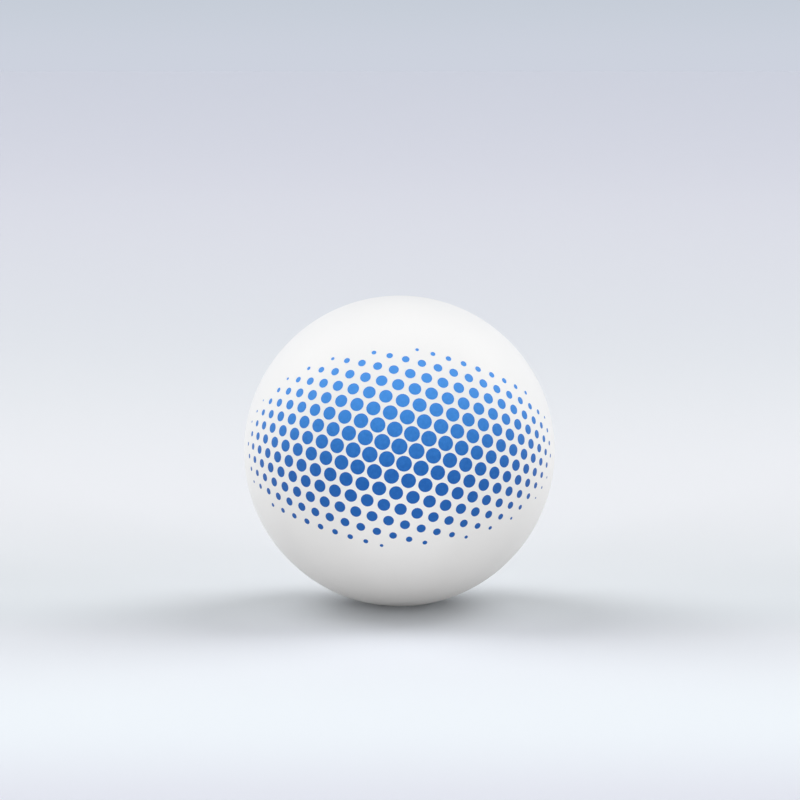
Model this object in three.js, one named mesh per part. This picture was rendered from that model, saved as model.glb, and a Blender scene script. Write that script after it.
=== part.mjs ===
// A field hockey ball as the pieces it is made of.
// A smooth plastic cover, moulded as two half shells with a stepped joint, closes round a quilted core:
// a composition cork centre, then two layers of cork strips, each bound by one unbroken length of twine.
// Millimetres, +Z up, origin at the centre of the ball. The printed face looks along -Y.

import * as THREE from "three";

// Cover
const BALL_DIAMETER = 73;
const COVER_WALL = 5.5;
const SEAM_CHAMFER = 0.25;
const SPIGOT_DEPTH = 3;
const SPIGOT_WALL = 2.6;
const SPIGOT_CLEARANCE = 0.3;

// Quilted core, with the same cork and the same twine in both layers
const LAYER_CLEARANCE = 0.4;
const CORK_THICKNESS = 4.5;
const STRIP_MAX_WIDTH = 31;
const STRIP_GAP = 0.6;
const STRIP_END_WIDTH = 3;
const TWINE_DIAMETER = 2.8;
const TURN_GAP = 1.2;
const TIGHTEST_TURN_RADIUS = 5.6;

// How finely the round forms are faceted
const COVER_SEGMENTS = 48;
// A path splits an arc into twice its divisions, so a quarter turn here has the facets of the full round.
const ARC_DIVISIONS = COVER_SEGMENTS / 8;
const STRIP_FACET_ANGLE = THREE.MathUtils.degToRad(12);
const TWINE_SIDES = 6;
const TWINE_STEP = 6.3;
const LEAST_STEPS_PER_TURN = 12;
const CENTRE_DETAIL = 5;

// Colours and finishes
const COVER_PLASTIC = { color: 0xf4f4f2, roughness: 0.32, metalness: 0 };
const STRIP_CORK = { color: 0xb98c5c, roughness: 0.9, metalness: 0 };
const CENTRE_CORK = { color: 0x7a5638, roughness: 0.85, metalness: 0 };
const WINDING_TWINE = { color: 0xd9c9a3, roughness: 0.95, metalness: 0 };

function namedMesh(name, geometry, finish) {
  const mesh = new THREE.Mesh(geometry, new THREE.MeshStandardMaterial(finish));
  mesh.name = name;
  return mesh;
}

// A point on a sphere round the Y axis, at an angle from the pole and an angle about the axis.
function onSphere(radius, fromPole, about) {
  return new THREE.Vector3().setFromSphericalCoords(radius, fromPole, about);
}

// A closed solid through a row of sections. Each section is a ring of the same even number of points,
// and a ladder of faces between facing points closes the first and the last.
function loft(sections) {
  const sides = sections[0].length;
  const positions = sections.flat().flatMap((point) => point.toArray());
  const triangles = [];
  for (let row = 0; row < sections.length - 1; row += 1) {
    for (let side = 0; side < sides; side += 1) {
      const near = row * sides + side;
      const next = row * sides + ((side + 1) % sides);
      triangles.push(near, next, near + sides, next, next + sides, near + sides);
    }
  }
  const lastRow = (sections.length - 1) * sides;
  for (let rung = 0; rung < sides / 2 - 1; rung += 1) {
    const facing = sides - 1 - rung;
    triangles.push(rung, facing, rung + 1, rung + 1, facing, facing - 1);
    triangles.push(lastRow + rung, lastRow + rung + 1, lastRow + facing);
    triangles.push(lastRow + rung + 1, lastRow + facing - 1, lastRow + facing);
  }
  const geometry = new THREE.BufferGeometry();
  geometry.setAttribute("position", new THREE.Float32BufferAttribute(positions, 3));
  geometry.setIndex(triangles);
  geometry.computeVertexNormals();
  return geometry;
}

// One half of the cover, revolved about Y. Both halves meet on the flat land at y = 0. Inside the land
// the rear half carries a spigot, which enters a rebate cut into the front half.
function coverHalf(isRear) {
  const outerRadius = BALL_DIAMETER / 2;
  const cavityRadius = outerRadius - COVER_WALL;
  const away = isRear ? 1 : -1;
  const landRadius = cavityRadius + SPIGOT_WALL + (isRear ? 0 : SPIGOT_CLEARANCE);
  const stepDepth = SPIGOT_DEPTH + (isRear ? 0 : SPIGOT_CLEARANCE);
  const seamAngle = Math.asin(SEAM_CHAMFER / outerRadius);
  const stepAngle = Math.asin(stepDepth / cavityRadius);
  const profile = new THREE.Path();
  profile.absarc(0, 0, outerRadius, (away * Math.PI) / 2, away * seamAngle, isRear);
  profile.lineTo(outerRadius - SEAM_CHAMFER, 0);
  profile.lineTo(landRadius, 0);
  profile.lineTo(landRadius, -stepDepth);
  profile.absarc(0, 0, cavityRadius, -stepAngle, (away * Math.PI) / 2, !isRear);
  const points = profile.getPoints(ARC_DIVISIONS);
  points[0].x = 0;
  points[points.length - 1].x = 0;
  return new THREE.LatheGeometry(isRear ? points.reverse() : points, COVER_SEGMENTS);
}

// One cork strip of a layer: a gore that runs from pole to pole, with an even gap to its neighbours and
// blunt ends that stop short of the poles.
function corkStrip(outerRadius, stripCount) {
  const innerRadius = outerRadius - CORK_THICKNESS;
  const share = Math.PI / stripCount;
  const endAngle = Math.asin((STRIP_END_WIDTH + STRIP_GAP) / (2 * share * outerRadius));
  const lengthSteps = Math.ceil((Math.PI - 2 * endAngle) / STRIP_FACET_ANGLE);
  const widthSteps = Math.ceil((2 * share) / STRIP_FACET_ANGLE);
  const sections = [];
  for (let row = 0; row <= lengthSteps; row += 1) {
    const fromPole = THREE.MathUtils.lerp(endAngle, Math.PI - endAngle, row / lengthSteps);
    const halfWidth = share - STRIP_GAP / (2 * outerRadius * Math.sin(fromPole));
    const outer = [];
    const inner = [];
    for (let column = 0; column <= widthSteps; column += 1) {
      const about = THREE.MathUtils.lerp(-halfWidth, halfWidth, column / widthSteps);
      outer.push(onSphere(outerRadius, fromPole, about));
      inner.unshift(onSphere(innerRadius, fromPole, about));
    }
    sections.push([...outer, ...inner]);
  }
  return loft(sections.reverse());
}

// The line that one winding's twine follows: a spiral on a sphere from near one pole to near the other.
class WindingLine {
  constructor(radius) {
    this.radius = radius;
    this.endAngle = Math.asin(TIGHTEST_TURN_RADIUS / radius);
    this.sweep = Math.PI - 2 * this.endAngle;
    this.turns = Math.floor((this.sweep * radius) / (TWINE_DIAMETER + TURN_GAP));
    this.anglePerSweep = (2 * Math.PI * this.turns) / this.sweep;
  }

  // The twine's centre at an angle from the pole, and the way that it runs there.
  at(fromPole) {
    const about = (fromPole - this.endAngle) * this.anglePerSweep;
    const centre = onSphere(this.radius, fromPole, about);
    const alongMeridian = onSphere(1, fromPole + Math.PI / 2, about);
    const alongParallel = onSphere(Math.sin(fromPole), Math.PI / 2, about + Math.PI / 2);
    const run = alongMeridian.addScaledVector(alongParallel, this.anglePerSweep).normalize();
    return { centre, run };
  }

  // Angles from the pole, spaced so that a step is a set length on wide turns and a set share of a turn
  // on narrow ones.
  stations(stepLength, leastStepsPerTurn) {
    const lastAngle = Math.PI - this.endAngle;
    const angles = [];
    let fromPole = this.endAngle;
    while (fromPole < lastAngle) {
      angles.push(fromPole);
      const turned = Math.min(
        (2 * Math.PI) / leastStepsPerTurn,
        stepLength / (this.radius * Math.sin(fromPole)),
      );
      fromPole += turned / this.anglePerSweep;
    }
    return [...angles, lastAngle];
  }

  // The least clear distance between one turn and the next, measured on closely spaced points.
  leastGap() {
    const spacing = TWINE_DIAMETER / 4;
    const points = this.stations(spacing, LEAST_STEPS_PER_TURN * 4).map((angle) => this.at(angle).centre);
    const halfTurn = Math.ceil((Math.PI * TIGHTEST_TURN_RADIUS) / spacing);
    let least = Infinity;
    points.forEach((point, index) => {
      for (let other = index + halfTurn; other < points.length; other += 1) {
        least = Math.min(least, point.distanceTo(points[other]));
      }
    });
    return least - TWINE_DIAMETER;
  }
}

// One section of the twine, square to its run.
function twineSection(centre, run, outward) {
  const aside = new THREE.Vector3().crossVectors(run, outward);
  const ring = [];
  for (let side = 0; side < TWINE_SIDES; side += 1) {
    const angle = (2 * Math.PI * side) / TWINE_SIDES;
    const point = centre.clone();
    point.addScaledVector(outward, (Math.cos(angle) * TWINE_DIAMETER) / 2);
    point.addScaledVector(aside, (Math.sin(angle) * TWINE_DIAMETER) / 2);
    ring.push(point);
  }
  return ring;
}

// One winding as an unbroken twine. Each end runs on straight for one twine diameter.
function winding(name, radius) {
  const line = new WindingLine(radius);
  const sections = line.stations(TWINE_STEP, LEAST_STEPS_PER_TURN).map((angle) => {
    const { centre, run } = line.at(angle);
    return twineSection(centre, run, centre.clone().normalize());
  });
  const tail = (angle, way) => {
    const { centre, run } = line.at(angle);
    const end = centre.clone().addScaledVector(run, way * TWINE_DIAMETER);
    return twineSection(end, run, centre.clone().normalize());
  };
  sections.unshift(tail(line.endAngle, -1));
  sections.push(tail(Math.PI - line.endAngle, 1));
  console.log(`${name}: ${line.turns} turns, least gap to itself ${line.leastGap().toFixed(2)} mm`);
  return namedMesh(name, loft(sections), WINDING_TWINE);
}

// A layer of the core: the fewest cork strips that go round side by side, and the winding that binds them,
// built from the outside in about the layer's own Y axis. Its inside radius is where the next layer's
// clearance starts.
function quiltLayer(prefix, outsideRadius) {
  const layer = new THREE.Group();
  const corkRadius = outsideRadius - TWINE_DIAMETER - LAYER_CLEARANCE;
  const stripCount = Math.ceil((2 * Math.PI * corkRadius) / (STRIP_MAX_WIDTH + STRIP_GAP));
  layer.add(winding(`${prefix}_winding`, outsideRadius - TWINE_DIAMETER / 2));
  for (let strip = 0; strip < stripCount; strip += 1) {
    const mesh = namedMesh(`${prefix}_cork_strip_${strip + 1}`, corkStrip(corkRadius, stripCount), STRIP_CORK);
    mesh.rotation.y = (2 * Math.PI * strip) / stripCount;
    layer.add(mesh);
  }
  return { layer, insideRadius: corkRadius - CORK_THICKNESS };
}

const ball = new THREE.Group();
ball.add(namedMesh("front_cover_half", coverHalf(false), COVER_PLASTIC));
ball.add(namedMesh("rear_cover_half", coverHalf(true), COVER_PLASTIC));

// The cover's axis is Y. Each quilted layer is wound about another axis, so that every layer crosses
// the one below it.
const outerQuilt = quiltLayer("outer", BALL_DIAMETER / 2 - COVER_WALL - LAYER_CLEARANCE);
outerQuilt.layer.rotation.x = Math.PI / 2;
ball.add(outerQuilt.layer);

const innerQuilt = quiltLayer("inner", outerQuilt.insideRadius - LAYER_CLEARANCE);
innerQuilt.layer.rotation.z = Math.PI / 2;
ball.add(innerQuilt.layer);

const centreRadius = innerQuilt.insideRadius - LAYER_CLEARANCE;
ball.add(namedMesh("cork_centre", new THREE.IcosahedronGeometry(centreRadius, CENTRE_DETAIL), CENTRE_CORK));

export default ball;
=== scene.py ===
"""A field hockey ball: a smooth printed cover in two halves, closed over a core of cork and twine.

Lengths are in metres, in the frame of the solids: the origin is the centre of the ball, +Z is up, and the
printed face looks along -Y.
"""

import cmath
import itertools
import logging
import math
from abc import ABC, abstractmethod
from collections.abc import Iterator, Sequence
from dataclasses import dataclass
from enum import Enum

import bmesh
import bpy
import numpy as np
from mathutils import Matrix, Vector, noise


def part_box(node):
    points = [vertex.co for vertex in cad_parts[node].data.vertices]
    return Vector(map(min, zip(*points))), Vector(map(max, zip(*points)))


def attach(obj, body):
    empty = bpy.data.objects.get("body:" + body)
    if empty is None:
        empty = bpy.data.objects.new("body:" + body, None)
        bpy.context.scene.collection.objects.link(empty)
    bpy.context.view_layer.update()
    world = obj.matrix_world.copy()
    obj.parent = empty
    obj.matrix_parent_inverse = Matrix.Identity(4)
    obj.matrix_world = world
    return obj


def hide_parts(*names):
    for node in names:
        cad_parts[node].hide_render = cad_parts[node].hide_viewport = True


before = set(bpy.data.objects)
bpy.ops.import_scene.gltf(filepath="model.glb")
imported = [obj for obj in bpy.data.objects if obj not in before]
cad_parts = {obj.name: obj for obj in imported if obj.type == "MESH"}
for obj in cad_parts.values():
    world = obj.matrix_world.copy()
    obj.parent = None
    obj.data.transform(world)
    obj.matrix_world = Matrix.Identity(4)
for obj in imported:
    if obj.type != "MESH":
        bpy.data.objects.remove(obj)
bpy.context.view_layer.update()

MM = 0.001
BODY = "root"
SHARP_EDGE = math.radians(40)
NOISE_MEAN = 0.5

Colour = tuple[float, float, float]
Face = tuple[int, ...]

log = logging.getLogger("field_hockey_ball")


# Shader maths


class Signal:
    """A value that a shader works out at each point, so that shader maths reads as plain arithmetic."""

    def __init__(self, graph: "Graph", socket: bpy.types.NodeSocket) -> None:
        """Wrap one output socket of a graph's node."""
        self.graph = graph
        self.socket = socket

    def _math(self, operation: str, first: "Signal | float", second: "Signal | float") -> "Signal":
        """Add a Math node.

        Args:
            operation: Blender's name for the operation.
            first: The left operand.
            second: The right operand.

        Returns:
            The result as a signal.
        """
        return self.graph.signal(
            "ShaderNodeMath", "Value", {"operation": operation}, {"Value": first, "Value_001": second}
        )

    def __add__(self, other: "Signal | float") -> "Signal":
        """Return self + other."""
        return self._math("ADD", self, other)

    def __radd__(self, other: float) -> "Signal":
        """Return other + self."""
        return self._math("ADD", other, self)

    def __sub__(self, other: "Signal | float") -> "Signal":
        """Return self - other."""
        return self._math("SUBTRACT", self, other)

    def __rsub__(self, other: float) -> "Signal":
        """Return other - self."""
        return self._math("SUBTRACT", other, self)

    def __mul__(self, other: "Signal | float") -> "Signal":
        """Return self * other."""
        return self._math("MULTIPLY", self, other)

    def __rmul__(self, other: float) -> "Signal":
        """Return other * self."""
        return self._math("MULTIPLY", other, self)

    def __rtruediv__(self, other: float) -> "Signal":
        """Return other / self."""
        return self._math("DIVIDE", other, self)

    def at_least(self, low: float) -> "Signal":
        """Return self, or low where that is more."""
        return self._math("MAXIMUM", self, low)

    def smooth_step(self, low: float, high: float) -> "Signal":
        """Rise smoothly from 0 to 1.

        Args:
            low: The value up to which the result is 0.
            high: The value from which the result is 1.

        Returns:
            The smoothed signal.
        """
        return self.graph.signal(
            "ShaderNodeMapRange",
            "Result",
            {"interpolation_type": "SMOOTHSTEP"},
            {"Value": self, "From Min": low, "From Max": high},
        )


SocketValue = Signal | bpy.types.NodeSocket | float | Sequence[float]


class Graph:
    """The node tree of one material or of the world."""

    def __init__(self, owner: bpy.types.Material | bpy.types.World) -> None:
        """Empty the owner's tree, ready for nodes.

        Args:
            owner: The material or the world that the tree belongs to.
        """
        owner.use_nodes = True
        self.tree = owner.node_tree
        self.tree.nodes.clear()
        self.place = self.signal("ShaderNodeTexCoord", "Object")

    @staticmethod
    def _socket(sockets: bpy.types.bpy_prop_collection, name: str) -> bpy.types.NodeSocket:
        """Find a socket by its identifier, which is unique, or else by its label."""
        return next((socket for socket in sockets if socket.identifier == name), None) or sockets[name]

    @staticmethod
    def _set_stops(ramp: bpy.types.ColorRamp, stops: Sequence[tuple[float, Colour]]) -> None:
        """Give a ramp new stops, with a smooth run between them.

        Args:
            ramp: The ramp.
            stops: The place of each colour, more than 0 and less than 1, and the colour.
        """
        ramp.interpolation = "CARDINAL"
        for place, colour in stops:
            ramp.elements.new(place).color = (*colour, 1.0)
        ramp.elements.remove(ramp.elements[0])
        ramp.elements.remove(ramp.elements[-1])

    def node(
        self,
        kind: str,
        settings: dict[str, object] | None = None,
        sockets: dict[str, SocketValue] | None = None,
    ) -> bpy.types.Node:
        """Add a node, set it up, then fill its sockets.

        Args:
            kind: Blender's type name for the node.
            settings: The node's properties, and under "stops" the place and colour of each ramp stop.
            sockets: A value or a link for each input socket, by identifier.

        Returns:
            The new node.
        """
        node = self.tree.nodes.new(kind)
        for name, value in (settings or {}).items():
            if name == "stops":
                self._set_stops(node.color_ramp, value)
            else:
                setattr(node, name, value)
        for name, value in (sockets or {}).items():
            socket = self._socket(node.inputs, name)
            if isinstance(value, Signal):
                self.tree.links.new(value.socket, socket)
            elif isinstance(value, bpy.types.NodeSocket):
                self.tree.links.new(value, socket)
            elif socket.type == "RGBA":
                socket.default_value = (*value, 1.0)
            else:
                socket.default_value = value
        return node

    def signal(
        self,
        kind: str,
        output: str,
        settings: dict[str, object] | None = None,
        sockets: dict[str, SocketValue] | None = None,
    ) -> Signal:
        """Add a node and take one of its outputs.

        Args:
            kind: Blender's type name for the node.
            output: The identifier of the output.
            settings: As for node.
            sockets: As for node.

        Returns:
            The output as a signal.
        """
        node = self.node(kind, settings, sockets)
        return Signal(self, self._socket(node.outputs, output))

    def noise(self, width: float, detail: float = 2.0, stretch: Sequence[float] = (1, 1, 1)) -> Signal:
        """Add soft noise.

        Args:
            width: The size of its patches, in metres.
            detail: How many finer octaves it has.
            stretch: How much longer the patches are along each axis.

        Returns:
            A signal from 0 to 1, with its mean near NOISE_MEAN.
        """
        squeezed = self.signal(
            "ShaderNodeVectorMath",
            "Vector",
            {"operation": "DIVIDE"},
            {"Vector": self.place, "Vector_001": stretch},
        )
        return self.signal(
            "ShaderNodeTexNoise", "Fac", {}, {"Vector": squeezed, "Scale": 1 / width, "Detail": detail}
        )

    def swing(self, width: float, detail: float = 2.0) -> Signal:
        """Add soft noise that swings to both sides of 0, with patches of a width in metres."""
        return self.noise(width, detail) - NOISE_MEAN

    def grains(self, width: float, feature: str, output: str) -> Signal:
        """Add packed grains.

        Args:
            width: The size of a grain, in metres.
            feature: Blender's name for what the cells measure.
            output: The output to take.

        Returns:
            The chosen output of the cells.
        """
        return self.signal(
            "ShaderNodeTexVoronoi",
            output,
            {"feature": feature},
            {"Vector": self.place, "Scale": 1 / width},
        )

    def mix(self, share: Signal, first: SocketValue, second: SocketValue) -> Signal:
        """Blend two colours.

        Args:
            share: How much of the second colour there is.
            first: The colour at a share of 0.
            second: The colour at a share of 1.

        Returns:
            The blended colour.
        """
        return self.signal(
            "ShaderNodeMix",
            "Result_Color",
            {"data_type": "RGBA"},
            {"Factor_Float": share, "A_Color": first, "B_Color": second},
        )

    def bump(self, height: Signal, depth: float) -> Signal:
        """Turn a height from 0 to 1 into a bumpy normal, with the given depth in metres."""
        return self.signal("ShaderNodeBump", "Normal", {}, {"Height": height, "Distance": depth})

    def shown(self) -> Signal:
        """Tell rays that show a thing, straight or in gloss or glass, from rays that only carry light.

        Returns:
            1 for a ray that shows the thing and 0 for any other.
        """
        outputs = self.node("ShaderNodeLightPath").outputs
        rays = ("Is Camera Ray", "Is Glossy Ray", "Is Transmission Ray")
        camera, glossy, transmission = (Signal(self, outputs[ray]) for ray in rays)
        return camera + glossy + transmission

    def surface(self, sockets: dict[str, SocketValue]) -> None:
        """End the tree in a Principled surface with the given sockets."""
        shader = self.node("ShaderNodeBsdfPrincipled", {}, sockets)
        self.node("ShaderNodeOutputMaterial", {}, {"Surface": shader.outputs["BSDF"]})


# Finishes


class Finish(ABC):
    """What a surface is made of, named after its material slot in the record if it has one."""

    name: str

    @abstractmethod
    def paint(self, graph: Graph) -> None:
        """Fill a material's node tree."""

    def material(self) -> bpy.types.Material:
        """Make the finish as a material, or find it where it is already made.

        Returns:
            The material.
        """
        name = f"{self.name}_finish"
        if name not in bpy.data.materials:
            self.paint(Graph(bpy.data.materials.new(name)))
        return bpy.data.materials[name]


@dataclass(frozen=True)
class CoverPlastic(Finish):
    """White moulded plastic with a soft gloss and the faint ripple of a cooled moulding."""

    name: str = "cover_plastic"
    colour: Colour = (0.905, 0.89, 0.875)
    cloud_colour: Colour = (0.89, 0.88, 0.87)
    cloud_width: float = 16 * MM
    roughness: float = 0.42
    roughness_spread: float = 0.12
    rub_width: float = 5 * MM
    ripple_width: float = 1.6 * MM
    ripple_depth: float = 0.006 * MM

    def paint(self, graph: Graph) -> None:
        """Fill a material's node tree.

        Args:
            graph: The tree to fill.
        """
        cloud = graph.noise(self.cloud_width)
        rub = graph.swing(self.rub_width, detail=4)
        graph.surface(
            {
                "Base Color": graph.mix(cloud, self.colour, self.cloud_colour),
                "Roughness": self.roughness + self.roughness_spread * rub,
                "Normal": graph.bump(graph.noise(self.ripple_width), self.ripple_depth),
            }
        )


@dataclass(frozen=True)
class PrintInk(Finish):
    """Blue printing ink, a thin and slightly uneven film, with painted shade: lighter towards the top of
    the ball and deeper towards the bottom, as light falls on it.
    """

    name: str = "print_ink"
    # Painted light and shade: the ink's colour high and low on the ball, and the heights between which one
    # fades into the other.
    painted_lit_ink_colour: Colour = (0.065, 0.300, 0.790)
    painted_shade_ink_colour: Colour = (0.004, 0.105, 0.405)
    painted_light_height: float = 22 * MM
    painted_shade_height: float = -6 * MM
    mottle_width: float = 0.8 * MM
    mottle_share: float = 0.4
    roughness: float = 0.46
    roughness_spread: float = 0.1
    ripple_width: float = CoverPlastic.ripple_width
    ripple_depth: float = CoverPlastic.ripple_depth

    def paint(self, graph: Graph) -> None:
        """Fill a material's node tree.

        Args:
            graph: The tree to fill.
        """
        height = graph.signal("ShaderNodeSeparateXYZ", "Z", {}, {"Vector": graph.place})
        mottle = graph.swing(self.mottle_width, detail=3)
        # Painted shade: the ink runs from the lit colour high on the ball to the shaded colour low on it;
        # the mottle is the film's own unevenness.
        tone = height.smooth_step(self.painted_shade_height, self.painted_light_height) + self.mottle_share * mottle
        graph.surface(
            {
                "Base Color": graph.mix(tone, self.painted_shade_ink_colour, self.painted_lit_ink_colour),
                "Roughness": self.roughness + self.roughness_spread * mottle,
                "Normal": graph.bump(graph.noise(self.ripple_width), self.ripple_depth),
            }
        )


@dataclass(frozen=True)
class StripCork(Finish):
    """Natural cork, cut in strips: pale grains, with dark pores that run through it."""

    name: str = "cork_strip"
    pale: Colour = (0.60, 0.37, 0.18)
    deep: Colour = (0.40, 0.21, 0.085)
    pore: Colour = (0.12, 0.055, 0.02)
    paleness: float = 0.3
    grain_width: float = 1.7 * MM
    blotch_width: float = 6.8 * MM
    pore_width: float = 1.1 * MM
    pore_stretch: tuple[float, float, float] = (1.0, 1.0, 3.0)
    pore_level: float = 0.66
    pore_edge: float = 0.06
    roughness: float = 0.88
    pore_roughness: float = 0.1
    pit_share: float = 0.5
    relief: float = 0.12 * MM

    def paint(self, graph: Graph) -> None:
        """Fill a material's node tree.

        Args:
            graph: The tree to fill.
        """
        grain = graph.grains(self.grain_width, "F1", "Distance")
        blotch = graph.noise(self.blotch_width, detail=3)
        shade = (grain + blotch - self.paleness).smooth_step(0.0, 1.0)
        flesh = graph.mix(shade, self.pale, self.deep)
        spots = graph.noise(self.pore_width, detail=1, stretch=self.pore_stretch)
        pores = spots.smooth_step(self.pore_level, self.pore_level + self.pore_edge)
        graph.surface(
            {
                "Base Color": graph.mix(pores, flesh, self.pore),
                "Roughness": self.roughness + self.pore_roughness * pores,
                "Normal": graph.bump(1 - self.pit_share * (grain + pores), self.relief),
            }
        )


@dataclass(frozen=True)
class CompositionCork(Finish):
    """Cork granules of mixed tints, pressed together in a dark rubber binder."""

    name: str = "cork_composition"
    pale: Colour = (0.37, 0.19, 0.085)
    deep: Colour = (0.12, 0.055, 0.025)
    binder: Colour = (0.06, 0.032, 0.02)
    granule_width: float = 2.4 * MM
    binder_width: float = 0.07
    ragged_edge: float = 0.3
    base_tone: float = 0.15
    tint_share: float = 0.7
    speck_share: float = 1.2
    speck_width: float = 0.5 * MM
    roughness: float = 0.8
    binder_gloss: float = 0.25
    relief: float = 0.1 * MM

    def paint(self, graph: Graph) -> None:
        """Fill a material's node tree.

        Args:
            graph: The tree to fill.
        """
        cell = graph.grains(self.granule_width, "F1", "Color")
        tint = graph.signal("ShaderNodeSeparateColor", "Red", {}, {"Color": cell})
        edge = graph.grains(self.granule_width, "DISTANCE_TO_EDGE", "Distance")
        speck = graph.swing(self.speck_width, detail=4)
        inside = (edge + self.ragged_edge * speck).smooth_step(0.0, self.binder_width)
        tone = self.base_tone + self.tint_share * tint + self.speck_share * speck
        granule = graph.mix(tone, self.deep, self.pale)
        graph.surface(
            {
                "Base Color": graph.mix(inside, self.binder, granule),
                "Roughness": self.roughness - self.binder_gloss * (1 - inside),
                "Normal": graph.bump(inside, self.relief),
            }
        )


@dataclass(frozen=True)
class WindingTwine(Finish):
    """Undyed twine, with fine fibres and slightly deeper patches."""

    name: str = "winding_twine"
    pale: Colour = (0.74, 0.64, 0.44)
    deep: Colour = (0.56, 0.44, 0.25)
    fibre_width: float = 0.35 * MM
    patch_width: float = 9 * MM
    patch_share: float = 0.4
    tone_range: tuple[float, float] = (0.3, 0.7)
    roughness: float = 0.93
    roughness_spread: float = 0.1
    relief: float = 0.06 * MM

    def paint(self, graph: Graph) -> None:
        """Fill a material's node tree.

        Args:
            graph: The tree to fill.
        """
        fibres = graph.noise(self.fibre_width, detail=4)
        patches = graph.noise(self.patch_width)
        tone = (1 - self.patch_share) * fibres + self.patch_share * patches
        graph.surface(
            {
                "Base Color": graph.mix(tone.smooth_step(*self.tone_range), self.deep, self.pale),
                "Roughness": self.roughness - self.roughness_spread * fibres,
                "Normal": graph.bump(fibres, self.relief),
            }
        )


@dataclass(frozen=True)
class FloorPaint(Finish):
    """The studio's matt floor, in soft bands from front to back, darker in a painted shadow band where the
    ball stands and deepest in the far distance.

    Each band is a place along Y and the colour there. One ramp holds them all, because places crowd
    together in it with distance: a depth behind the front is half way along it. Light that bounces off
    the floor meets the bounce colour instead, so that the floor lights the ball less than it shows.
    """

    name: str = "floor_paint"
    bounce_colour: Colour = (0.40, 0.40, 0.40)
    front: float = -0.25
    depth: float = 0.55
    bands: tuple[tuple[float, Colour], ...] = (
        (-0.22, (0.78, 0.79, 0.86)),
        (-0.15, (0.88, 0.92, 0.96)),
        (-0.05, (0.83, 0.85, 0.89)),
        # Painted shadow: this darker band runs across the floor where the ball stands.
        (0.00, (0.75, 0.78, 0.81)),
        (0.20, (0.86, 0.87, 0.90)),
        (0.70, (0.78, 0.80, 0.84)),
        (2.50, (0.71, 0.72, 0.79)),
        (50.0, (0.63, 0.65, 0.73)),
    )
    roughness: float = 0.9

    def paint(self, graph: Graph) -> None:
        """Fill a material's node tree.

        Args:
            graph: The tree to fill.
        """
        along = graph.signal("ShaderNodeSeparateXYZ", "Y", {}, {"Vector": graph.place})
        nearness = self.depth / (self.depth + (along - self.front).at_least(0.0))
        stops = [(self.depth / (self.depth + place - self.front), colour) for place, colour in self.bands]
        bands = graph.signal("ShaderNodeValToRGB", "Color", {"stops": stops}, {"Fac": nearness})
        graph.surface(
            {
                "Base Color": graph.mix(graph.shown(), self.bounce_colour, bands),
                "Roughness": self.roughness,
                "Specular IOR Level": 0.0,
            }
        )


# Meshes


class Surface:
    """A mesh in the making: points, and the faces between them."""

    def __init__(self) -> None:
        """Start with nothing."""
        self.points: list[Sequence[float]] = []
        self.faces: list[Face] = []

    def add_points(self, points: np.ndarray) -> list[int]:
        """Add a row of points.

        Args:
            points: The points, one a row.

        Returns:
            Their numbers in the mesh.
        """
        first = len(self.points)
        self.points.extend(points.tolist())
        return list(range(first, len(self.points)))

    def join(self, first: Sequence[int], second: Sequence[int], closed: bool = True) -> None:
        """Join two rows with a strip of faces.

        Args:
            first: The point numbers of one row.
            second: Those of the other row, as many, or a single point for a fan.
            closed: Whether the rows run right round.
        """
        steps = max(len(first), len(second))
        for step in range(steps if closed else steps - 1):
            after = (step + 1) % steps
            corners = [
                first[min(step, len(first) - 1)],
                first[min(after, len(first) - 1)],
                second[min(after, len(second) - 1)],
                second[min(step, len(second) - 1)],
            ]
            self.faces.append(tuple(dict.fromkeys(corners)))

    def mesh(self, name: str) -> bpy.types.Mesh:
        """Make the mesh, shaded smooth but for its sharp edges.

        Args:
            name: The mesh's name.

        Returns:
            The mesh.
        """
        mesh = bpy.data.meshes.new(name)
        mesh.from_pydata(self.points, [], self.faces)
        mesh.validate()
        mesh.shade_smooth()
        mesh.set_sharp_from_angle(angle=SHARP_EDGE)
        return mesh


def on_sphere(radius: np.ndarray | float, from_pole: np.ndarray, about: np.ndarray) -> np.ndarray:
    """Find points on a sphere round the Y axis.

    Args:
        radius: The distance from the centre.
        from_pole: The angle from +Y.
        about: The angle about Y, from +Z towards +X.

    Returns:
        The points, one a row.
    """
    level = radius * np.sin(from_pole)
    return np.stack([level * np.sin(about), radius * np.cos(from_pole), level * np.cos(about)], axis=-1)


def add_piece(mesh: bpy.types.Mesh, finish: Finish, *nodes: str) -> None:
    """Make a mesh a piece of the ball, named after the mesh.

    Args:
        mesh: The piece's mesh, in the ball's frame.
        finish: What it is made of.
        nodes: The solids that it stands for.
    """
    piece = bpy.data.objects.new(mesh.name, mesh)
    bpy.context.scene.collection.objects.link(piece)
    mesh.materials.append(finish.material())
    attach(piece, BODY)
    if nodes:
        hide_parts(*nodes)
    log.info("%s: %d faces", piece.name, len(mesh.polygons))


# The ball


class Half(Enum):
    """A half of the cover, by the way that it faces along Y."""

    FRONT = -1
    REAR = 1


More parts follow.
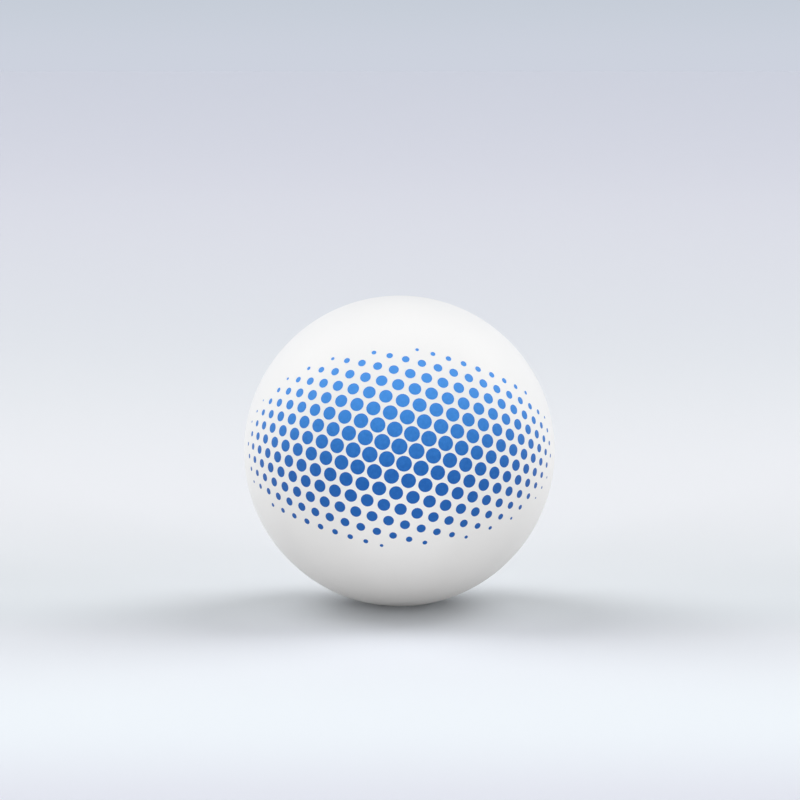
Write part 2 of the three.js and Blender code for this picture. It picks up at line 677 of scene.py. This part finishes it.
@dataclass
class Cover:
    """The moulded cover: two half shells that meet in a stepped joint."""

    radius: float
    wall: float = 5.5 * MM
    seam_round: float = 0.25 * MM
    spigot_depth: float = 3.0 * MM
    spigot_wall: float = 2.6 * MM
    spigot_clearance: float = 0.3 * MM
    segments: int = 192
    outer_steps: int = 96
    inner_steps: int = 40
    seam_steps: int = 5

    @property
    def cavity_radius(self) -> float:
        """The radius of the hollow inside."""
        return self.radius - self.wall

    def profile(self, half: Half) -> np.ndarray:
        """Draw a half's section from its outer pole round to its inner pole.

        Args:
            half: Which half.

        Returns:
            Rows of distance from the Y axis and place along it.
        """
        clearance = self.spigot_clearance if half is Half.FRONT else 0.0
        land_radius = self.cavity_radius + self.spigot_wall + clearance
        step_depth = self.spigot_depth + clearance
        outer = np.linspace(0, math.acos(self.seam_round / self.radius), self.outer_steps)
        edge = np.linspace(0, math.pi / 2, self.seam_steps)[1:]
        step_angle = math.acos(-half.value * step_depth / self.cavity_radius)
        inner = np.linspace(step_angle, 0, self.inner_steps)
        rows = [
            *zip(self.radius * np.sin(outer), half.value * self.radius * np.cos(outer)),
            *zip(
                self.radius - self.seam_round * (1 - np.cos(edge)),
                half.value * self.seam_round * (1 - np.sin(edge)),
            ),
            (land_radius, 0.0),
            (land_radius, -step_depth),
            *zip(self.cavity_radius * np.sin(inner), half.value * self.cavity_radius * np.cos(inner)),
        ]
        return np.array(rows)

    def shell(self, half: Half) -> bpy.types.Mesh:
        """Revolve a half's section about Y.

        Args:
            half: Which half.

        Returns:
            The closed shell.
        """
        profile = self.profile(half)
        about = half.value * np.linspace(0, 2 * math.pi, self.segments, endpoint=False)
        surface = Surface()
        row = surface.add_points(np.array([[0.0, profile[0][1], 0.0]]))
        for reach, along in profile[1:-1]:
            ring = [reach * np.sin(about), np.full_like(about, along), reach * np.cos(about)]
            next_row = surface.add_points(np.stack(ring, axis=-1))
            surface.join(next_row, row)
            row = next_row
        surface.join(surface.add_points(np.array([[0.0, profile[-1][1], 0.0]])), row)
        return surface.mesh(f"{half.name.lower()}_cover_shell")

    def build(self) -> None:
        """Make both halves in white plastic."""
        for half in Half:
            add_piece(self.shell(half), CoverPlastic(), f"{half.name.lower()}_cover_half")


@dataclass
class DotPrint:
    """A halftone of round dots on the front of the cover, densest in the middle and fading all round."""

    radius: float
    film: float = 0.03 * MM
    sunk: float = 0.05 * MM
    tilt: float = math.radians(8)
    half_width: float = math.radians(77)
    half_height: float = math.radians(39)
    pitch: float = 4.0 * MM
    screen_angle: float = math.radians(15)
    densest: float = 0.76
    evenness: float = 1.6
    smallest_dot: float = 0.22 * MM
    edge_step: float = 0.4 * MM
    fewest_edge_steps: int = 12

    def dots(self) -> Iterator[tuple[Vector, float]]:
        """Place the dots on the crossings of an even screen that is wrapped round the front of the ball.

        Yields:
            The direction of each dot from the centre, and its radius.
        """
        front = Vector((0, -math.cos(self.tilt), math.sin(self.tilt)))
        right = Vector((1, 0, 0))
        up = right.cross(front)
        row_turn = math.pi / 3
        along_row = cmath.rect(self.pitch, self.screen_angle)
        to_next_row = cmath.rect(self.pitch, self.screen_angle + row_turn)
        row_spacing = self.pitch * math.sin(row_turn)
        reach = math.ceil(self.half_width * self.radius / row_spacing)
        for row, column in itertools.product(range(-reach, reach + 1), repeat=2):
            distance, turn = cmath.polar(row * to_next_row + column * along_row)
            off_axis = distance / self.radius
            across = off_axis * math.cos(turn) / self.half_width
            along = off_axis * math.sin(turn) / self.half_height
            inked = self.densest * max(0.0, 1 - math.hypot(across, along) ** self.evenness)
            dot_radius = math.sqrt(inked * self.pitch * row_spacing / math.pi)
            if dot_radius > self.smallest_dot:
                sideways = right * math.cos(turn) + up * math.sin(turn)
                yield front * math.cos(off_axis) + sideways * math.sin(off_axis), dot_radius

    def add_dot(self, surface: Surface, direction: Vector, dot_radius: float) -> None:
        """Add one dot as a thin closed film that follows the ball.

        Args:
            surface: The mesh to add it to.
            direction: Where it lies, from the centre.
            dot_radius: Its radius.
        """
        steps = max(self.fewest_edge_steps, math.ceil(2 * math.pi * dot_radius / self.edge_step))
        turn = np.linspace(0, 2 * math.pi, steps, endpoint=False)[:, None]
        side = direction.orthogonal().normalized()
        spokes = np.cos(turn) * np.array(side) + np.sin(turn) * np.array(direction.cross(side))
        middle = np.array([direction])
        top, bottom = self.radius + self.film, self.radius - self.sunk
        reach = dot_radius / self.radius
        row = surface.add_points(middle * top)
        for height, angle in ((top, reach / 2), (top, reach), (bottom, reach)):
            ring = surface.add_points(height * (middle * math.cos(angle) + spokes * math.sin(angle)))
            surface.join(ring, row)
            row = ring
        surface.join(surface.add_points(middle * bottom), row)

    def build(self) -> None:
        """Make the print in blue ink."""
        surface = Surface()
        for direction, dot_radius in self.dots():
            self.add_dot(surface, direction, dot_radius)
        add_piece(surface.mesh("cover_print"), PrintInk())


class LayerAxis(Enum):
    """The axis that a layer is wound about, with the turn that brings the layer's own Y axis there."""

    UPRIGHT = ((1, 0, 0), (0, 0, -1), (0, 1, 0))
    SIDEWAYS = ((0, -1, 0), (1, 0, 0), (0, 0, 1))

    def turned(self, points: np.ndarray) -> np.ndarray:
        """Turn points from the layer's own axes to the ball's."""
        return points @ np.array(self.value, float).T


@dataclass
class QuiltLayer:
    """A layer of the core: cork strips side by side, bound by one winding of twine."""

    name: str
    axis: LayerAxis
    outside_radius: float
    clearance: float = 0.4 * MM
    cork_thickness: float = 4.5 * MM
    strip_gap: float = 0.6 * MM
    strip_end_width: float = 3.0 * MM
    strip_edge_round: float = 0.7 * MM
    strip_step: float = 0.9 * MM
    twine_diameter: float = 2.8 * MM
    turn_gap: float = 1.2 * MM
    tightest_turn_radius: float = 5.6 * MM
    measures_per_turn: int = 400
    plies: int = 3
    points_per_ply: int = 6
    ply_valley: float = 0.3
    lay_length: float = 9.0 * MM
    twine_step: float = 0.9 * MM

    @property
    def cork_radius(self) -> float:
        """The outside of the cork."""
        return self.outside_radius - self.twine_diameter - self.clearance

    @property
    def inside_radius(self) -> float:
        """The inside of the cork."""
        return self.cork_radius - self.cork_thickness

    def twine_line(self) -> tuple[np.ndarray, np.ndarray, np.ndarray]:
        """Follow the winding from end to end in even steps.

        Returns:
            The centre of the twine at each step, the way that it runs, and the way out from the ball.
        """
        radius = self.outside_radius - self.twine_diameter / 2
        end_angle = math.asin(self.tightest_turn_radius / radius)
        sweep = math.pi - 2 * end_angle
        turns = math.floor(sweep * radius / (self.twine_diameter + self.turn_gap))
        turn_rate = 2 * math.pi * turns / sweep
        fine = np.linspace(end_angle, math.pi - end_angle, self.measures_per_turn * turns)
        speed = radius * np.hypot(1, turn_rate * np.sin(fine))
        length = np.concatenate([[0], np.cumsum((speed[1:] + speed[:-1]) / 2 * np.diff(fine))])
        steps = math.ceil(length[-1] / self.twine_step)
        from_pole = np.interp(np.linspace(0, length[-1], steps + 1), length, fine)
        about = (from_pole - end_angle) * turn_rate
        outward = on_sphere(1.0, from_pole, about)
        run = on_sphere(1.0, from_pole + math.pi / 2, about)
        equator = np.full_like(about, math.pi / 2)
        run += turn_rate * on_sphere(np.sin(from_pole), equator, about + math.pi / 2)
        run /= np.linalg.norm(run, axis=1, keepdims=True)
        wound = radius * outward
        first_end = wound[0] - self.twine_diameter * run[0]
        last_end = wound[-1] + self.twine_diameter * run[-1]
        centres = np.vstack([first_end, wound, last_end])
        return centres, run[[0, *range(len(run)), -1]], outward[[0, *range(len(outward)), -1]]

    def twine(self) -> bpy.types.Mesh:
        """Lay the plies of the twine along its line, twisted together.

        Returns:
            The unbroken twine as a closed mesh.
        """
        centres, run, outward = self.twine_line()
        aside = np.cross(run, outward)
        ring = np.linspace(0, 2 * math.pi, self.plies * self.points_per_ply, endpoint=False)
        from_crest = (ring * self.plies + math.pi) % (2 * math.pi) - math.pi
        reach = self.twine_diameter / 2 * (1 - self.ply_valley * (1 - np.cos(from_crest / 2)))
        travelled = np.concatenate([[0], np.cumsum(np.linalg.norm(np.diff(centres, axis=0), axis=1))])
        twist = 2 * math.pi * travelled[:, None] / self.lay_length
        angle = ring[None, :] + twist
        sections = centres[:, None, :] + reach[None, :, None] * (
            np.cos(angle)[..., None] * outward[:, None, :] + np.sin(angle)[..., None] * aside[:, None, :]
        )
        surface = Surface()
        row = surface.add_points(self.axis.turned(centres[:1]))
        for section in sections:
            next_row = surface.add_points(self.axis.turned(section))
            surface.join(row, next_row)
            row = next_row
        surface.join(row, surface.add_points(self.axis.turned(centres[-1:])))
        return surface.mesh(f"{self.name}_twine")

    def rounded(self, from_edge: np.ndarray) -> np.ndarray:
        """Find how far a strip's face drops near its edge.

        Args:
            from_edge: The distance from the nearest edge.

        Returns:
            The drop of the face there.
        """
        into = np.clip(1 - from_edge / self.strip_edge_round, 0, 1)
        return self.strip_edge_round * (1 - np.sqrt(1 - into**2))

    @staticmethod
    def rim(grid: Sequence[Sequence[int]]) -> list[int]:
        """Go round the edge of a grid of points.

        Args:
            grid: The point numbers, row by row.

        Returns:
            The numbers of the points on the edge, in order.
        """
        last_column = [row[-1] for row in grid[1:-1]]
        first_column = [row[0] for row in grid[-2:0:-1]]
        return [*grid[0], *last_column, *grid[-1][::-1], *first_column]

    def strip(self, number: int, count: int) -> bpy.types.Mesh:
        """Cut one cork strip: a gore that runs from pole to pole, with rounded edges.

        Args:
            number: Which strip, from 0.
            count: How many strips the layer has.

        Returns:
            The strip as a closed mesh.
        """
        share = math.pi / count
        end_angle = math.asin((self.strip_end_width + self.strip_gap) / (2 * share * self.cork_radius))
        length = (math.pi - 2 * end_angle) * self.cork_radius
        rows = math.ceil(length / self.strip_step)
        columns = math.ceil(2 * share * self.cork_radius / self.strip_step)
        from_pole = np.linspace(end_angle, math.pi - end_angle, rows + 1)[:, None]
        half_width = share - self.strip_gap / (2 * self.cork_radius * np.sin(from_pole))
        across = np.sin(np.linspace(-math.pi / 2, math.pi / 2, columns + 1))[None, :]
        about = half_width * across + 2 * math.pi * number / count
        from_side = half_width * (1 - np.abs(across)) * self.cork_radius * np.sin(from_pole)
        from_end = (np.minimum(from_pole, math.pi - from_pole) - end_angle) * self.cork_radius
        drop = self.rounded(np.minimum(from_side, from_end))
        from_pole = np.broadcast_to(from_pole, about.shape)
        outer = self.axis.turned(on_sphere(self.cork_radius - drop, from_pole, about))
        inner = self.axis.turned(on_sphere(self.inside_radius + drop, from_pole, about))
        surface = Surface()
        outer_rows = [surface.add_points(row) for row in outer]
        inner_rows = [surface.add_points(row) for row in inner]
        for near, far in zip(outer_rows, outer_rows[1:]):
            surface.join(far, near, closed=False)
        for near, far in zip(inner_rows, inner_rows[1:]):
            surface.join(near, far, closed=False)
        surface.join(self.rim(outer_rows), self.rim(inner_rows))
        return surface.mesh(f"{self.name}_cork_gore_{number + 1}")

    def build(self) -> None:
        """Make the layer's winding and its strips, as many as the solids have."""
        add_piece(self.twine(), WindingTwine(), f"{self.name}_winding")
        prefix = f"{self.name}_cork_strip_"
        count = sum(node.startswith(prefix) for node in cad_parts)
        for number in range(count):
            add_piece(self.strip(number, count), StripCork(), f"{prefix}{number + 1}")


@dataclass
class CorkCentre:
    """The ball of pressed cork granules in the middle of the core, with valley_width in granule widths."""

    radius: float
    granule_width: float = CompositionCork.granule_width
    granule_relief: float = 0.12 * MM
    valley_width: float = 0.25
    subdivisions: int = 6

    def build(self) -> None:
        """Make the centre, with its granules standing a little proud of the binder."""
        mesh = bpy.data.meshes.new("pressed_cork_centre")
        form = bmesh.new()
        bmesh.ops.create_icosphere(form, subdivisions=self.subdivisions, radius=self.radius)
        for point in form.verts:
            distances, _ = noise.voronoi(point.co / self.granule_width)
            valley = max(0.0, 1 - (distances[1] - distances[0]) / self.valley_width)
            point.co -= point.co.normalized() * (self.granule_relief * valley)
        form.to_mesh(mesh)
        form.free()
        mesh.shade_smooth()
        add_piece(mesh, CompositionCork(), "cork_centre")


# The studio


@dataclass(frozen=True)
class LampPair:
    """Two alike soft lamps, left and right, so far away that they light everything evenly.

    Angles are in degrees. An azimuth of 0 is in front of the ball and 90 is at its side. Lamps without
    glints don't show in reflections.
    """

    name: str
    azimuth: float
    elevation: float
    level: float
    spread: float
    glints: bool = True
    colour: Colour = (0.98, 0.99, 1.0)

    def build(self) -> None:
        """Hang both lamps, each so bright that a white card that faces it shows the lamp's level."""
        light = bpy.data.lights.new(self.name, "SUN")
        light.color = self.colour
        light.angle = math.radians(self.spread)
        light.energy = math.pi * self.level
        rise = math.radians(self.elevation)
        reach = math.cos(rise)
        for turn in (-math.radians(self.azimuth), math.radians(self.azimuth)):
            lamp = bpy.data.objects.new(self.name, light)
            towards = Vector((math.sin(turn) * reach, -math.cos(turn) * reach, math.sin(rise)))
            lamp.rotation_euler = towards.to_track_quat("Z", "Y").to_euler()
            lamp.visible_glossy = self.glints
            bpy.context.scene.collection.objects.link(lamp)


@dataclass
class Studio:
    """A pale floor, soft lamps above and behind the ball, low lamps before it, and a faint surround."""

    ball_radius: float
    floor_radius: float = 60.0
    floor_sides: int = 96
    surround_light: float = 0.04
    horizon_colour: Colour = (0.610, 0.645, 0.730)
    upper_colour: Colour = (0.560, 0.608, 0.682)
    fade_height: float = 0.025
    lamps: tuple[LampPair, ...] = (
        LampPair("high_lamp", azimuth=90, elevation=70, level=0.13, spread=60),
        LampPair("high_back_lamp", azimuth=127, elevation=52, level=0.28, spread=40, glints=False),
        LampPair("back_lamp", azimuth=120, elevation=30, level=0.205, spread=40, glints=False),
        LampPair("low_side_lamp", azimuth=62, elevation=3.5, level=0.29, spread=6, glints=False),
        LampPair("low_front_lamp", azimuth=35, elevation=3.5, level=0.275, spread=6, glints=False),
    )

    def lay_floor(self) -> None:
        """Lay the floor that the ball stands on."""
        mesh = bpy.data.meshes.new("studio_floor")
        form = bmesh.new()
        bmesh.ops.create_circle(form, cap_ends=True, segments=self.floor_sides, radius=self.floor_radius)
        bmesh.ops.translate(form, verts=form.verts, vec=(0, 0, -self.ball_radius))
        form.to_mesh(mesh)
        form.free()
        mesh.materials.append(FloorPaint().material())
        floor = bpy.data.objects.new("studio_floor", mesh)
        bpy.context.scene.collection.objects.link(floor)

    def surround(self) -> None:
        """Light the ball evenly from all round, and show a backdrop behind it that deepens upwards."""
        world = bpy.data.worlds.new("studio_surround")
        bpy.context.scene.world = world
        graph = Graph(world)
        light = graph.node(
            "ShaderNodeBackground", {}, {"Color": (1.0, 1.0, 1.0), "Strength": self.surround_light}
        )
        height = graph.signal("ShaderNodeSeparateXYZ", "Z", {}, {"Vector": graph.place})
        rise = height.smooth_step(0.0, self.fade_height)
        backdrop = graph.mix(rise, self.horizon_colour, self.upper_colour)
        shown = graph.node("ShaderNodeBackground", {}, {"Color": backdrop})
        mixed = graph.node(
            "ShaderNodeMixShader",
            {},
            {
                "Fac": graph.shown(),
                "Shader": light.outputs["Background"],
                "Shader_001": shown.outputs["Background"],
            },
        )
        graph.node("ShaderNodeOutputWorld", {}, {"Surface": mixed.outputs["Shader"]})

    def build(self) -> None:
        """Set up the floor, the surround and the lamps."""
        self.lay_floor()
        self.surround()
        for lamp in self.lamps:
            lamp.build()
        bpy.context.scene.view_settings.view_transform = "Standard"


@dataclass
class PhotoCamera:
    """A long lens near the floor, with the ball where the photograph has it."""

    ball_radius: float
    image_side: float = 800.0
    ball_column: float = 399.4
    ball_row: float = 450.8
    ball_radius_in_image: float = 155.3
    distance: float = 0.8
    elevation: float = math.radians(6.5)

    def build(self) -> None:
        """Place the camera and make it the scene's."""
        camera = bpy.data.objects.new("photo_camera", bpy.data.cameras.new("photo_camera"))
        bpy.context.scene.collection.objects.link(camera)
        bpy.context.scene.camera = camera
        rim_slope = self.ball_radius / math.sqrt(self.distance**2 - self.ball_radius**2)
        focal_length = self.ball_radius_in_image / rim_slope
        camera.data.lens = focal_length / self.image_side * camera.data.sensor_width
        backward = Vector((0, -math.cos(self.elevation), math.sin(self.elevation)))
        right = Vector((1, 0, 0))
        up = backward.cross(right)
        slip = Vector((self.image_side / 2 - self.ball_column, self.ball_row - self.image_side / 2))
        slip *= self.distance / focal_length
        camera.location = backward * self.distance
        aim = right * slip.x + up * slip.y
        camera.rotation_euler = (aim - camera.location).to_track_quat("-Z", "Y").to_euler()


def build_ball(radius: float) -> None:
    """Make the ball's pieces from the outside in.

    Args:
        radius: The ball's radius.
    """
    cover = Cover(radius)
    cover.build()
    DotPrint(radius).build()
    clearance = QuiltLayer.clearance
    outer = QuiltLayer("outer", LayerAxis.UPRIGHT, cover.cavity_radius - clearance)
    inner = QuiltLayer("inner", LayerAxis.SIDEWAYS, outer.inside_radius - clearance)
    for layer in (outer, inner):
        layer.build()
    CorkCentre(inner.inside_radius - clearance).build()


def main() -> None:
    """Build the ball and its studio in order."""
    logging.basicConfig(level=logging.INFO, format="%(name)s: %(message)s")
    lowest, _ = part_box("front_cover_half")
    radius = -lowest.y
    build_ball(radius)
    Studio(radius).build()
    PhotoCamera(radius).build()


if __name__ == "__main__":
    main()
